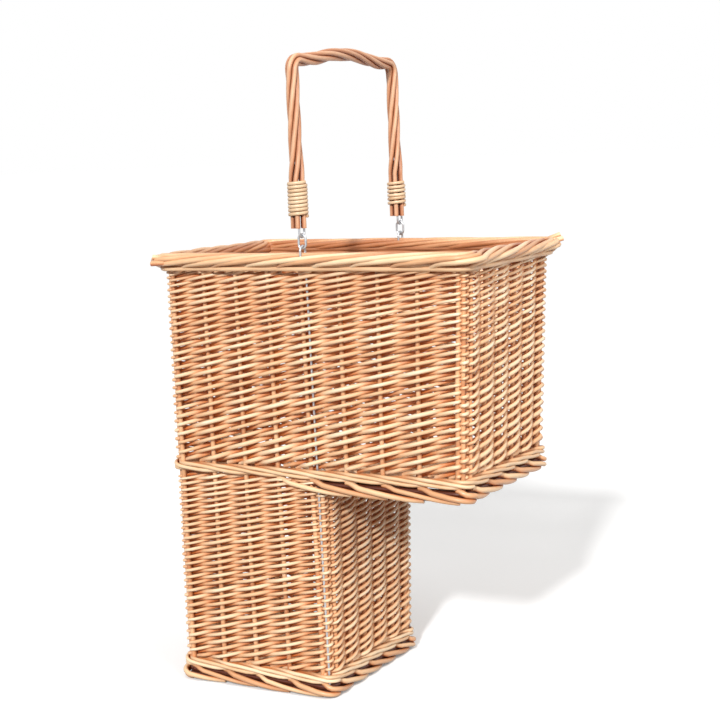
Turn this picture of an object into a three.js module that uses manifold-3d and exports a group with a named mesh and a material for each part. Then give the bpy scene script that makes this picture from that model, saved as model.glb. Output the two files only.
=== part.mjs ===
// Woven willow stair basket. A long upper box overhangs a half-length lower box, so that
// it stands on one stair and leans over the next. A squared handle of twisted willow rods
// swings on two steel chain links hooked to the rim.
// Millimetres, +Z up. The origin is on the floor, below the centre of the rim.
// The front is -Y, and the tall end, which runs from floor to rim, is -X.

import * as THREE from 'three';
import { mergeVertices } from 'three/addons/utils/BufferGeometryUtils.js';
import Module from 'manifold-3d';

const wasm = await Module();
wasm.setup();

// Woven walls, measured on their outer faces
const rimLength = 300;
const rimWidth = 179;
const rimHeight = 378;
const stepHeight = 194;
const lowerLength = 161;
const wall = 10;
const cornerRadius = 13;
const leastCorner = 1.5;

// Relief of the weave on the walls, in courses that each stand for a few rows of weavers
const courseHeight = 10;
const weaverThickness = 4.4;
const leastCover = 0.4;

// How far each side comes in from its top to its foot
const sideLean = 8;
const overhangEndLean = 9;
const riserLean = 5;

// How far the tall end spreads out from its top to its foot
const tallEndSpread = 6;

// Bands and borders that run round the boxes
const footBorderHeight = 12;
const footBorderOut = 3;
const footBorderIn = 5;
const baseWaleHeight = 9.6;
const stepWaleHeight = 12;
const waleStrands = 3;
const waleOut = 1.6;
const overhangBorderHeight = 10;
const overhangBorderOut = 2.6;
const overhangBorderIn = 6;
const topBorderHeight = 12.6;
const topBorderOut = 9;
const topBorderIn = 3;
const topBorderRound = 5;
const borderRound = 3.5;
const floorThickness = 8.4;

// Stakes stand inside the weave
const stakeFootRadius = 2.6;
const stakeTopRadius = 2.1;
const longSideStakeInset = 11;
const endStakeInset = 16;
const lowerSideStakes = 5;
const overhangSideStakes = 4;
const endStakes = 6;
const middleStakeInset = 16.08;

// Steel wire: stays with an eye at the rim, chain links, and loops under the handle
const wireRadius = 1;
const chainInset = 10.08;
const eyeRadius = 4;
const eyeRise = 5.6;
const eyeTail = 8;
const linkLength = 13.8;
const linkWidth = 8.8;

// Handle of three rods twisted together
const rodRadius = 3;
const rodGap = 0.6;
const rodCount = 3;
const rodEndRise = 7.5;
const rodTail = 8.5;
const handleTop = 562;
const handleCrown = 7;
const handleCornerRadius = 14;
const twistTurns = 8 / 3;

// Split cane wound round the foot of each handle leg
const caneWidth = 2.6;
const caneThickness = 1.4;
const frontBindingTurns = 9;
const frontBindingPitch = 3.15;
const backBindingTurns = 6;
const backBindingPitch = 3.5;

// Gap left between pieces that touch
const seat = 0.3;

// How far a cutting tool runs past the piece that it cuts
const overrun = 1;

// Facets
const cornerSteps = 4;
const profileSteps = 2;
const wireSides = 8;
const stakeSides = 6;
const rodSides = 8;
const bendSteps = 10;
const legSteps = 14;
const gripSteps = 14;
const loopSteps = 20;
const caneSides = 6;

// Heights worked out from the stack of bands
const baseWaleFoot = footBorderHeight + seat;
const lowerWeaveFoot = baseWaleFoot + baseWaleHeight + seat;
const stepWaleFoot = stepHeight + seat;
const upperWeaveFoot = stepWaleFoot + stepWaleHeight + seat;
const topBorderFoot = rimHeight + seat;
const rimTop = topBorderFoot + topBorderHeight;
const stakeFoot = baseWaleFoot + seat;

// Each chain pivot is the wire that the next piece hangs on
const crossing = 2 * wireRadius + seat;
const eyeAxis = rimTop + eyeRise;
const linkFoot = eyeAxis - crossing;
const linkHead = linkFoot + linkLength - 2 * wireRadius;
const handleAxis = linkHead - crossing;
const rodEnd = handleAxis + rodEndRise;

// Faces of the boxes at height z
function tallEndX(z) {
  return -rimLength / 2 - tallEndSpread * (1 - z / rimHeight);
}

function overhangEndX(z) {
  return rimLength / 2 - overhangEndLean * (rimHeight - z) / (rimHeight - stepHeight);
}

function riserX(z) {
  return tallEndX(stepHeight) + lowerLength - riserLean * (1 - z / stepHeight);
}

function sideY(z) {
  return rimWidth / 2 - sideLean * (1 - z / rimHeight);
}

// The middle stake and the chain keep their distance from the riser
const middleStakeX = riserX(stepHeight) - middleStakeInset;
const chainX = riserX(stepHeight) - chainInset;

function upperBox(z) {
  return { x0: tallEndX(z), x1: overhangEndX(z), y: sideY(z) };
}

function lowerBox(z) {
  return { x0: tallEndX(z), x1: riserX(z), y: sideY(z) };
}

// Centres of the corners of a rounded rectangle from x0 to x1 and from -y to y, counter-clockwise
function cornerCentres(x0, x1, y, radius) {
  return [
    new THREE.Vector2(x1 - radius, radius - y),
    new THREE.Vector2(x1 - radius, y - radius),
    new THREE.Vector2(x0 + radius, y - radius),
    new THREE.Vector2(x0 + radius, radius - y),
  ];
}

function cornerArc(centre, radius, quarter, steps) {
  return Array.from({ length: steps + 1 }, (_, step) => {
    const angle = (quarter - 1 + step / steps) * Math.PI / 2;
    return new THREE.Vector2(centre.x + radius * Math.cos(angle), centre.y + radius * Math.sin(angle));
  });
}

function outline(x0, x1, y, radius, steps = cornerSteps) {
  const centres = cornerCentres(x0, x1, y, radius);
  return centres.flatMap((centre, quarter) => cornerArc(centre, radius, quarter, steps));
}

function meshFrom(positions, triangles) {
  const geometry = new THREE.BufferGeometry();
  geometry.setAttribute('position', new THREE.Float32BufferAttribute(positions, 3));
  geometry.setIndex(triangles);
  geometry.computeVertexNormals();
  return geometry;
}

// Closed solid through rings that have the same count of points, with the last joined to the first
function joinRings(rings) {
  const positions = rings.flat().flatMap((point) => point.toArray());
  const triangles = [];
  const count = rings[0].length;
  for (let i = 0; i < rings.length; i += 1) {
    const next = (i + 1) % rings.length;
    for (let j = 0; j < count; j += 1) {
      const k = (j + 1) % count;
      const [a, b] = [i * count + j, i * count + k];
      const [c, d] = [next * count + k, next * count + j];
      triangles.push(a, b, c, a, c, d);
    }
  }
  return meshFrom(positions, triangles);
}

// Closed band round a box. Each profile point is [distance outside the box face, height].
function band(boxAt, radius, profile) {
  return joinRings(profile.map(([out, z]) => {
    const box = boxAt(z);
    const corner = Math.max(radius + out, leastCorner);
    const ring = outline(box.x0 - out, box.x1 + out, box.y + out, corner);
    return ring.map((point) => new THREE.Vector3(point.x, point.y, z));
  }));
}

// Profiles of the bands, counter-clockwise with outward to the right
function roundProfile(outer, inner, foot, height, radius) {
  const middle = foot + height / 2;
  const section = outline(-wall - inner, outer, height / 2, radius, profileSteps);
  return section.map((point) => [point.x, middle + point.y]);
}

function waleProfile(foot, height) {
  const strand = height / waleStrands;
  const profile = [[-wall, foot], [waleOut / 2, foot]];
  for (let i = 0; i < waleStrands; i += 1) {
    profile.push([waleOut, foot + (i + 0.3) * strand]);
    profile.push([waleOut, foot + (i + 0.7) * strand]);
    profile.push([waleOut / 2, foot + (i + 1) * strand]);
  }
  return [...profile, [-wall, foot + height]];
}

function circleProfile(radius, sides) {
  return Array.from({ length: sides }, (_, i) => {
    const angle = i * 2 * Math.PI / sides;
    return [radius * Math.cos(angle), radius * Math.sin(angle)];
  });
}

// Route through chosen points, with one step per point
class Route extends THREE.Curve {
  constructor(points) {
    super();
    this.points = points;
  }

  getUtoTmapping(u) {
    return u;
  }

  getPoint(t) {
    const last = this.points.length - 1;
    const place = Math.min(Math.max(t, 0), 1) * last;
    const index = Math.min(Math.floor(place), last - 1);
    return this.points[index].clone().lerp(this.points[index + 1], place - index);
  }

  getTangent(t) {
    const last = this.points.length - 1;
    const index = Math.round(t * last);
    const before = this.points[Math.max(index - 1, 0)];
    const after = this.points[Math.min(index + 1, last)];
    return after.clone().sub(before).normalize();
  }
}

function tube(points, radius, sides) {
  const section = new THREE.Shape(circleProfile(radius, sides).map(([x, y]) => new THREE.Vector2(x, y)));
  return new THREE.ExtrudeGeometry(section, {
    steps: points.length - 1,
    extrudePath: new Route(points),
    bevelEnabled: false,
  });
}

// Straight rod that may taper from one end to the other
function straightRod(start, end, startRadius, endRadius) {
  const run = end.clone().sub(start);
  const geometry = new THREE.CylinderGeometry(endRadius, startRadius, run.length(), stakeSides);
  const direction = run.clone().normalize();
  const turn = new THREE.Quaternion().setFromUnitVectors(new THREE.Vector3(0, 1, 0), direction);
  const middle = start.clone().lerp(end, 0.5);
  return geometry.applyQuaternion(turn).translate(middle.x, middle.y, middle.z);
}

function toSolid(geometry) {
  const bare = geometry.clone();
  bare.deleteAttribute('normal');
  bare.deleteAttribute('uv');
  const merged = mergeVertices(bare, 1e-4);
  return new wasm.Manifold(new wasm.Mesh({
    numProp: 3,
    vertProperties: new Float32Array(merged.attributes.position.array),
    triVerts: new Uint32Array(merged.index.array),
  }));
}

function cutAway(geometry, tools) {
  let solid = toSolid(geometry);
  tools.forEach((tool) => {
    solid = solid.subtract(toSolid(tool));
  });
  const mesh = solid.getMesh();
  return meshFrom(Array.from(mesh.vertProperties), Array.from(mesh.triVerts));
}

// Stakes, each a straight line at height z along the middle of its wall. The walls of a box are
// numbered counter-clockwise from the one at x1, as its corners are.
function sideLine(side, xAt) {
  return (z) => new THREE.Vector3(xAt(z), side * (sideY(z) - wall / 2), z);
}

function endLine(faceAt, inward, share) {
  return (z) => {
    const reach = sideY(z) - endStakeInset;
    return new THREE.Vector3(faceAt(z) + inward * wall / 2, reach * (2 * share - 1), z);
  };
}

function stakeLines() {
  const lines = [];
  const add = (name, quarter, foot, top, at) => lines.push({ name, quarter, foot, top, at });
  [['front', -1, 3], ['back', 1, 1]].forEach(([label, side, quarter]) => {
    for (let i = 0; i < lowerSideStakes; i += 1) {
      const share = i / (lowerSideStakes - 1);
      const xAt = (z) => THREE.MathUtils.lerp(tallEndX(z) + longSideStakeInset, middleStakeX, share);
      add(`${label}_stake_${i + 1}`, quarter, stakeFoot, rimHeight, sideLine(side, xAt));
    }
    for (let i = 1; i <= overhangSideStakes; i += 1) {
      const share = i / overhangSideStakes;
      const xAt = (z) => THREE.MathUtils.lerp(middleStakeX, overhangEndX(z) - longSideStakeInset, share);
      add(`${label}_overhang_stake_${i}`, quarter, stepWaleFoot, rimHeight, sideLine(side, xAt));
    }
  });
  for (let i = 0; i < endStakes; i += 1) {
    const share = i / (endStakes - 1);
    add(`tall_end_stake_${i + 1}`, 2, stakeFoot, rimHeight, endLine(tallEndX, 1, share));
    add(`riser_stake_${i + 1}`, 0, stakeFoot, stepHeight, endLine(riserX, -1, share));
    add(`overhang_end_stake_${i + 1}`, 0, stepWaleFoot, rimHeight, endLine(overhangEndX, -1, share));
  }
  return lines;
}

function stakeRadius(z) {
  return THREE.MathUtils.mapLinear(z, stakeFoot, rimHeight, stakeFootRadius, stakeTopRadius);
}

function stakeGeometry(line) {
  return straightRod(line.at(line.foot), line.at(line.top), stakeRadius(line.foot), stakeRadius(line.top));
}

// Clear way for a stake through a band from foot to top
function stakeBore(line, foot, top) {
  const [low, high] = [foot - overrun, top + overrun];
  return straightRod(line.at(low), line.at(high), stakeRadius(low) + seat, stakeRadius(high) + seat);
}

// Ring round one face of a woven wall at height z. The face is 1 outside and -1 inside. Where the
// weavers pass a stake on this face the wall is full, and elsewhere it just covers the stake.
// Halfway between stakes the weavers lie in the middle of the wall. Corners stay full.
function weaveRing(boxAt, stakes, z, face, passes) {
  const box = boxAt(z);
  const inset = face > 0 ? 0 : wall;
  const radius = face > 0 ? cornerRadius : leastCorner;
  const centres = cornerCentres(box.x0 + inset, box.x1 - inset, box.y - inset, radius);
  const covered = stakeRadius(z) + seat + leastCover;
  const points = [];
  let passed = 0;
  centres.forEach((centre, quarter) => {
    const next = centres[(quarter + 1) % centres.length];
    const [along, across] = quarter % 2 ? ['x', 'y'] : ['y', 'x'];
    const outward = quarter < 2 ? face : -face;
    const [low, high] = [Math.min(centre[along], next[along]), Math.max(centre[along], next[along])];
    const heading = Math.sign(next[along] - centre[along]);
    const places = stakes.filter((line) => line.quarter === quarter).map((line) => line.at(z));
    places.sort((a, b) => heading * (a[along] - b[along]));
    points.push(...cornerArc(centre, radius, quarter, cornerSteps).slice(1, -1));
    places.forEach((stakePlace, i) => {
      const atStake = stakePlace.clone();
      atStake[along] = THREE.MathUtils.clamp(stakePlace[along], low, high);
      atStake[across] += outward * (passes(passed) ? wall / 2 : covered);
      points.push(atStake);
      passed += 1;
      if (i + 1 < places.length) {
        const halfway = stakePlace.clone().lerp(places[i + 1], 0.5);
        halfway[across] += outward * weaverThickness / 2;
        points.push(halfway);
      }
    });
  });
  return points.map((point) => new THREE.Vector3(point.x, point.y, z));
}

// Woven wall: outside, the weavers pass each stake in one course and go behind it in the next
function weaveWall(boxAt, stakes, foot, top) {
  const courses = Math.round((top - foot) / courseHeight);
  const outside = Array.from({ length: courses + 1 }, (_, course) => {
    const z = THREE.MathUtils.lerp(foot, top, course / courses);
    return weaveRing(boxAt, stakes, z, 1, (stake) => (stake + course) % 2 === 0);
  });
  const inside = [top, foot].map((z) => weaveRing(boxAt, stakes, z, -1, () => true));
  return joinRings([...outside, ...inside]);
}

// Stay: a straight wire beside the middle stake that bends over into an eye above the rim
function stayStraight(side) {
  return sideLine(side, () => chainX);
}

function stayPoints(side) {
  const at = stayStraight(side);
  const neck = at(rimHeight);
  const centre = new THREE.Vector3(chainX, neck.y + side * eyeRadius, eyeAxis - eyeRadius);
  const points = [at(stakeFoot), neck];
  for (let i = 0; i <= bendSteps; i += 1) {
    const angle = Math.PI * i / bendSteps;
    points.push(new THREE.Vector3(chainX, centre.y - side * eyeRadius * Math.cos(angle),
      centre.z + eyeRadius * Math.sin(angle)));
  }
  const end = points.at(-1);
  points.push(new THREE.Vector3(chainX, end.y, rimTop - eyeTail));
  return points;
}

function stayBore(side, foot, top) {
  const at = stayStraight(side);
  const radius = wireRadius + seat;
  return straightRod(at(foot - overrun), at(top + overrun), radius, radius);
}

// The top border has a way through for the stay and a socket for the eye's tail
function eyeBores(side) {
  const [, neck, ...bend] = stayPoints(side);
  const radius = wireRadius + seat;
  const tailFoot = bend.at(-1).clone();
  tailFoot.z -= seat;
  const tailTop = bend.at(-2).clone();
  const throughTop = bend[0].clone();
  const throughFoot = neck.clone();
  throughFoot.z -= overrun;
  throughTop.z = rimTop + overrun;
  tailTop.z = rimTop + overrun;
  return [
    straightRod(throughFoot, throughTop, radius, radius),
    straightRod(tailFoot, tailTop, radius, radius),
  ];
}

// Chain link: a stadium of wire that stands in the XZ plane
function linkGeometry() {
  const halfLength = linkLength / 2 - wireRadius;
  const halfWidth = linkWidth / 2 - wireRadius;
  const box = () => ({ x0: -halfLength, x1: halfLength, y: halfWidth });
  return band(box, halfWidth, circleProfile(wireRadius, wireSides));
}

// Handle axis: up the front leg, over the crowned grip and down the back leg, in the YZ plane
const legY = sideY(rimHeight) - wall / 2 + eyeRadius;
const rodCircle = (2 * rodRadius + rodGap) / (2 * Math.sin(Math.PI / rodCount));
const bundleRadius = rodCircle + rodRadius;
const halfValley = Math.PI / rodCount;
const wireToRod = rodRadius + wireRadius + seat;
const valleyRadius = rodCircle * Math.cos(halfValley)
  + Math.sqrt(wireToRod ** 2 - (rodCircle * Math.sin(halfValley)) ** 2);
const loopRadius = valleyRadius * Math.sin(halfValley);
const legX = chainX - valleyRadius * Math.cos(halfValley);
const frontBindingHeight = frontBindingTurns * frontBindingPitch;
const backBindingHeight = backBindingTurns * backBindingPitch;

function handlePath() {
  const crownZ = handleTop - bundleRadius;
  const shoulderZ = crownZ - handleCrown;
  const gripStart = legY - handleCornerRadius;
  const bendZ = shoulderZ - handleCornerRadius;
  const path = new THREE.Path();
  path.moveTo(-legY, rodEnd);
  path.lineTo(-legY, bendZ);
  path.absarc(-gripStart, bendZ, handleCornerRadius, Math.PI, Math.PI / 2, true);
  path.bezierCurveTo(-gripStart / 2, shoulderZ, -gripStart / 2, crownZ, 0, crownZ);
  path.bezierCurveTo(gripStart / 2, crownZ, gripStart / 2, shoulderZ, gripStart, shoulderZ);
  path.absarc(gripStart, bendZ, handleCornerRadius, Math.PI / 2, 0, true);
  path.lineTo(legY, rodEnd);
  return path;
}

// Stations along the handle axis, with the distance travelled at each
function handleStations() {
  const stations = [];
  let travelled = 0;
  handlePath().curves.forEach((curve) => {
    const legOrBend = curve.isLineCurve ? legSteps : bendSteps;
    const steps = curve.isCubicBezierCurve ? gripSteps : legOrBend;
    for (let i = stations.length ? 1 : 0; i <= steps; i += 1) {
      const place = curve.getPoint(i / steps);
      const tangent = curve.getTangent(i / steps);
      travelled += stations.length ? place.distanceTo(stations.at(-1).place) : 0;
      stations.push({ place, tangent, travelled });
    }
  });
  return stations;
}

// The rods run straight under the bindings, and twist most along the grip
function rodPoints(phase) {
  const stations = handleStations();
  const bound = rodTail + Math.max(frontBindingHeight, backBindingHeight) + rodRadius;
  const free = stations.at(-1).travelled - 2 * bound;
  return stations.map(({ place, tangent, travelled }) => {
    const share = THREE.MathUtils.clamp((travelled - bound) / free, 0, 1);
    const angle = phase - 2 * Math.PI * twistTurns * THREE.MathUtils.smootherstep(share, 0, 1);
    const across = rodCircle * Math.sin(angle);
    return new THREE.Vector3(legX + rodCircle * Math.cos(angle),
      place.x - across * tangent.y, place.y + across * tangent.x);
  });
}

// Loop of wire whose two arms lie in the valleys between the rods, under the binding
function loopPoints(side, bindingHeight) {
  const armTop = rodEnd + rodTail + bindingHeight - 2 * wireRadius;
  const y = side * legY;
  const points = [new THREE.Vector3(chainX, y - loopRadius, armTop)];
  for (let i = 0; i <= bendSteps; i += 1) {
    const angle = Math.PI * i / bendSteps;
    points.push(new THREE.Vector3(chainX, y - loopRadius * Math.cos(angle),
      handleAxis + loopRadius * (1 - Math.sin(angle))));
  }
  points.push(new THREE.Vector3(chainX, y + loopRadius, armTop));
  return points;
}

// Cane wound round a leg as one unbroken helix of flat section
function windingRings(side, turns, pitch) {
  const inner = bundleRadius + seat;
  const middle = inner + caneThickness / 2;
  const foot = rodEnd + rodTail + caneWidth / 2;
  const rings = [];
  for (let i = 0; i <= turns * loopSteps; i += 1) {
    const angle = 2 * Math.PI * i / loopSteps;
    const z = foot + pitch * i / loopSteps;
    rings.push(circleProfile(1, caneSides).map(([up, across]) => {
      const radius = middle + across * caneThickness / 2;
      return new THREE.Vector3(legX + radius * Math.cos(angle), side * legY + radius * Math.sin(angle),
        z + up * caneWidth / 2);
    }));
  }
  return rings;
}

function windingGeometry(rings) {
  const positions = rings.flat().flatMap((point) => point.toArray());
  const triangles = [];
  const last = (rings.length - 1) * caneSides;
  for (let i = 0; i + 1 < rings.length; i += 1) {
    for (let j = 0; j < caneSides; j += 1) {
      const k = (j + 1) % caneSides;
      const [a, b] = [i * caneSides + j, i * caneSides + k];
      triangles.push(a, b, b + caneSides, a, b + caneSides, a + caneSides);
    }
  }
  for (let j = 1; j + 1 < caneSides; j += 1) {
    triangles.push(0, j + 1, j, last, last + j, last + j + 1);
  }
  return meshFrom(positions, triangles);
}

function leastGap(rings) {
  let least = Infinity;
  rings.forEach((ring, i) => {
    rings.slice(i + loopSteps / 2).forEach((other) => {
      ring.forEach((point) => other.forEach((far) => {
        least = Math.min(least, point.distanceTo(far));
      }));
    });
  });
  return least;
}

// Floors
function lowerFloorGeometry() {
  const box = lowerBox(baseWaleFoot);
  const inset = wall + seat;
  const points = outline(box.x0 + inset, box.x1 - inset, box.y - inset, cornerRadius - wall);
  return slab(points, baseWaleFoot, floorThickness);
}

function stepFloorGeometry() {
  const box = upperBox(stepWaleFoot);
  const inset = wall + seat;
  const riserInside = riserX(stepHeight) - wall;
  const points = outline(riserInside, box.x1 - inset, box.y - inset, cornerRadius - wall);
  return slab(points, stepWaleFoot, floorThickness);
}

function slab(points, foot, height) {
  return new THREE.ExtrudeGeometry(new THREE.Shape(points), { depth: height, bevelEnabled: false })
    .translate(0, 0, foot);
}

// The overhang's border runs round three sides and stops at the riser
function overhangBorderGeometry() {
  const foot = stepHeight - overhangBorderHeight;
  const profile = roundProfile(overhangBorderOut, overhangBorderIn, foot, overhangBorderHeight, borderRound);
  const cut = riserX(stepHeight) + seat;
  const reach = 2 * rimLength;
  const block = new THREE.BoxGeometry(reach, reach, reach).translate(cut - reach / 2, 0, stepHeight);
  return cutAway(band(upperBox, cornerRadius, profile), [block]);
}

// Materials
function willow() {
  return new THREE.MeshStandardMaterial({ color: 0xcf9a66, roughness: 0.6, metalness: 0 });
}

function steamedWillow() {
  return new THREE.MeshStandardMaterial({ color: 0xb8744c, roughness: 0.5, metalness: 0 });
}

function splitCane() {
  return new THREE.MeshStandardMaterial({ color: 0xe2c596, roughness: 0.55, metalness: 0 });
}

function steel() {
  return new THREE.MeshStandardMaterial({ color: 0xb9bdc1, roughness: 0.35, metalness: 1 });
}

function place(group, name, geometry, material) {
  const mesh = new THREE.Mesh(geometry, material);
  mesh.name = name;
  group.add(mesh);
  return mesh;
}

// Basket: bands, floors, stakes and stays
function buildBasket() {
  const basket = new THREE.Group();
  const stakes = stakeLines();
  const sides = [['front', -1], ['back', 1]];
  const through = (foot, top) => stakes.filter((line) => line.foot < top && line.top > foot);
  const bored = (geometry, foot, top) => {
    const bores = through(foot, top).map((line) => stakeBore(line, foot, top));
    const stays = sides.map(([, side]) => stayBore(side, foot, top));
    return cutAway(geometry, [...bores, ...stays]);
  };
  const addBand = (name, boxAt, profile, foot, top) => {
    place(basket, name, bored(band(boxAt, cornerRadius, profile), foot, top), willow());
  };
  const addWeave = (name, boxAt, foot, top) => {
    const weave = weaveWall(boxAt, through(foot, top), foot, top);
    place(basket, name, bored(weave, foot, top), willow());
  };
  const footProfile = roundProfile(footBorderOut, footBorderIn, 0, footBorderHeight, borderRound);
  place(basket, 'foot_border', band(lowerBox, cornerRadius, footProfile), willow());
  const baseWaleTop = baseWaleFoot + baseWaleHeight;
  const baseWale = waleProfile(baseWaleFoot, baseWaleHeight);
  addBand('base_wale', lowerBox, baseWale, baseWaleFoot, baseWaleTop);
  place(basket, 'lower_floor', lowerFloorGeometry(), willow());
  addWeave('lower_weave', lowerBox, lowerWeaveFoot, stepHeight);
  place(basket, 'overhang_border', overhangBorderGeometry(), willow());
  const stepWaleTop = stepWaleFoot + stepWaleHeight;
  const stepWale = waleProfile(stepWaleFoot, stepWaleHeight);
  addBand('step_wale', upperBox, stepWale, stepWaleFoot, stepWaleTop);
  place(basket, 'step_floor', stepFloorGeometry(), willow());
  addWeave('upper_weave', upperBox, upperWeaveFoot, rimHeight);
  const rimProfile = roundProfile(topBorderOut, topBorderIn, topBorderFoot, topBorderHeight, topBorderRound);
  const rim = band(upperBox, cornerRadius, rimProfile);
  place(basket, 'top_border', cutAway(rim, sides.flatMap(([, side]) => eyeBores(side))), willow());
  stakes.forEach((line) => place(basket, line.name, stakeGeometry(line), willow()));
  sides.forEach(([label, side]) => {
    place(basket, `${label}_stay`, tube(stayPoints(side), wireRadius, wireSides), steel());
  });
  return basket;
}

// Chain links stand upright between the rim eyes and the handle loops
function buildLink(label, side) {
  const link = new THREE.Group();
  const mesh = place(link, `${label}_link`, linkGeometry(), steel());
  const axes = [[0, 0, 1], [1, 0, 0], [0, 1, 0]].map((axis) => new THREE.Vector3(...axis));
  mesh.quaternion.setFromRotationMatrix(new THREE.Matrix4().makeBasis(...axes));
  link.position.set(chainX, side * legY, (linkFoot + linkHead) / 2);
  return link;
}

function buildHandle() {
  const handle = new THREE.Group();
  for (let i = 0; i < rodCount; i += 1) {
    const phase = 2 * Math.PI * i / rodCount;
    place(handle, `handle_rod_${i + 1}`, tube(rodPoints(phase), rodRadius, rodSides), steamedWillow());
  }
  const ends = [
    ['front', -1, frontBindingTurns, frontBindingPitch],
    ['back', 1, backBindingTurns, backBindingPitch],
  ];
  ends.forEach(([label, side, turns, pitch]) => {
    const rings = windingRings(side, turns, pitch);
    console.log(`${label}_binding: least gap to itself ${leastGap(rings).toFixed(2)} mm`);
    place(handle, `${label}_binding`, windingGeometry(rings), splitCane());
    place(handle, `${label}_loop`, tube(loopPoints(side, turns * pitch), wireRadius, wireSides), steel());
  });
  return handle;
}

const group = new THREE.Group();
group.add(buildBasket(), buildLink('front', -1), buildLink('back', 1), buildHandle());

export default group;
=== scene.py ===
import math

import bpy
import numpy as np
from mathutils import Matrix, Vector


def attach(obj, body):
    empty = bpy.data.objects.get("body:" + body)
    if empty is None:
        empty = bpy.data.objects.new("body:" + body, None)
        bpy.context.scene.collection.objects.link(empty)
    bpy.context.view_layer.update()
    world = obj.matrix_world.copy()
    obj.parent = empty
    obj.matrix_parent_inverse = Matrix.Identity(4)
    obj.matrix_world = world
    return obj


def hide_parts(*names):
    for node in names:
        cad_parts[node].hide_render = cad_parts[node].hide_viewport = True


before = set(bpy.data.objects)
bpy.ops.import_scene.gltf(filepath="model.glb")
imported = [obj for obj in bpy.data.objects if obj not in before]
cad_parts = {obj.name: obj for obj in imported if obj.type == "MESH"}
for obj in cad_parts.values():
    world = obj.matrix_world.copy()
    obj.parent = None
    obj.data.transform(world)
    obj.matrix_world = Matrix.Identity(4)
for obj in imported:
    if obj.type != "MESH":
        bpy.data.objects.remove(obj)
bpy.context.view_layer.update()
scene = bpy.context.scene
mm = 0.001

# The basket's main sizes in millimetres, the same as the CAD solids
basket = {
    "rimLength": 300.0,
    "rimWidth": 179.0,
    "rimHeight": 378.0,
    "stepHeight": 194.0,
    "lowerLength": 161.0,
    "wall": 10.0,
    "cornerRadius": 13.0,
    "sideLean": 8.0,
    "tallEndSpread": 6.0,
    "overhangEndLean": 9.0,
    "riserLean": 5.0,
    "stakeInset": 11.0,
    "endStakeInset": 16.0,
    "middleStakeX": -8.0,
    "sideBays": 4,  # from a long side's middle stake to either end
    "endBays": 5,
}
halfWall = basket["wall"] / 2
endShares = [2 * i / basket["endBays"] - 1 for i in range(basket["endBays"] + 1)]

# How finely the middle line of a wall is followed
railSteps = {
    "perBay": 8,
    "perCorner": 16,
    "tried": 20000,  # places round the wall, to find the one nearest to a stake
    "tangent": 0.4,  # mm to each side
    "cornerFade": 34.0,  # mm from a corner's middle to where its effect ends
}
perBay = railSteps["perBay"]


def mix(a, b, share):
    return a + (b - a) * share


def tallEndX(z):
    return -basket["rimLength"] / 2 - basket["tallEndSpread"] * (1 - z / basket["rimHeight"])


def overhangEndX(z):
    drop = (basket["rimHeight"] - z) / (basket["rimHeight"] - basket["stepHeight"])
    return basket["rimLength"] / 2 - basket["overhangEndLean"] * drop


def riserX(z):
    top = tallEndX(basket["stepHeight"]) + basket["lowerLength"]
    return top - basket["riserLean"] * (1 - z / basket["stepHeight"])


def nearEndX(z, upper):
    return overhangEndX(z) if upper else riserX(z)


def sideY(z):
    return basket["rimWidth"] / 2 - basket["sideLean"] * (1 - z / basket["rimHeight"])


def longSideStakes(z, upper):
    first = tallEndX(z) + basket["stakeInset"]
    middle = basket["middleStakeX"]
    last = overhangEndX(z) - basket["stakeInset"]
    shares = [i / basket["sideBays"] for i in range(basket["sideBays"] + 1)]
    places = [mix(first, middle, share) for share in shares]
    if upper:
        places += [mix(middle, last, share) for share in shares[1:]]
    return places


def cornerSpot(z, x, inward, side):
    # a stake in the middle of a wall's rounded corner
    reach = halfWall + (basket["cornerRadius"] - halfWall) * (1 - math.sqrt(0.5))
    return x + inward * reach, side * (sideY(z) - reach)


def ringStakes(z, upper, corners=False):
    # once round, from the tall end along the front, counter-clockwise seen from above
    side = sideY(z) - halfWall
    alongX = longSideStakes(z, upper)
    alongY = [share * (sideY(z) - basket["endStakeInset"]) for share in endShares]
    near, far = nearEndX(z, upper), tallEndX(z)
    sides = [[(x, -side) for x in alongX], [(near - halfWall, y) for y in alongY],
             [(x, side) for x in reversed(alongX)], [(far + halfWall, -y) for y in alongY]]
    if corners:
        ends = [(near, -1, -1), (near, -1, 1), (far, 1, 1), (far, 1, -1)]
        sides = [spots + [cornerSpot(z, *end)] for spots, end in zip(sides, ends)]
    return sum(sides, [])


def bayCount(upper, corners=False):
    return len(ringStakes(basket["stepHeight"], upper, corners))


def ringLine(z, upper):
    # the middle of the wall, once round and closed
    radius = basket["cornerRadius"] - halfWall
    x0 = tallEndX(z) + halfWall
    x1 = nearEndX(z, upper) - halfWall
    y = sideY(z) - halfWall
    centres = ((x1 - radius, radius - y), (x1 - radius, y - radius),
               (x0 + radius, y - radius), (x0 + radius, radius - y))
    points = []
    for quarter, (cx, cy) in enumerate(centres):
        for step in range(railSteps["perCorner"] + 1):
            angle = (quarter - 1 + step / railSteps["perCorner"]) * math.pi / 2
            points.append((cx + radius * math.cos(angle), cy + radius * math.sin(angle)))
    points.append(points[0])
    return np.array(points)


def addObject(name, data):
    piece = bpy.data.objects.new(name, data)
    scene.collection.objects.link(piece)
    return piece


def railObject(points, outward, **numbers):
    mesh = bpy.data.meshes.new("rail")
    mesh.from_pydata([tuple(p) for p in points], [], [])
    mesh.attributes.new("outward", "FLOAT_VECTOR", "POINT").data.foreach_set("vector", np.ravel(outward))
    for label, values in numbers.items():
        mesh.attributes.new(label, "FLOAT", "POINT").data.foreach_set("value", np.ravel(values))
    return addObject("rail", mesh)


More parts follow.
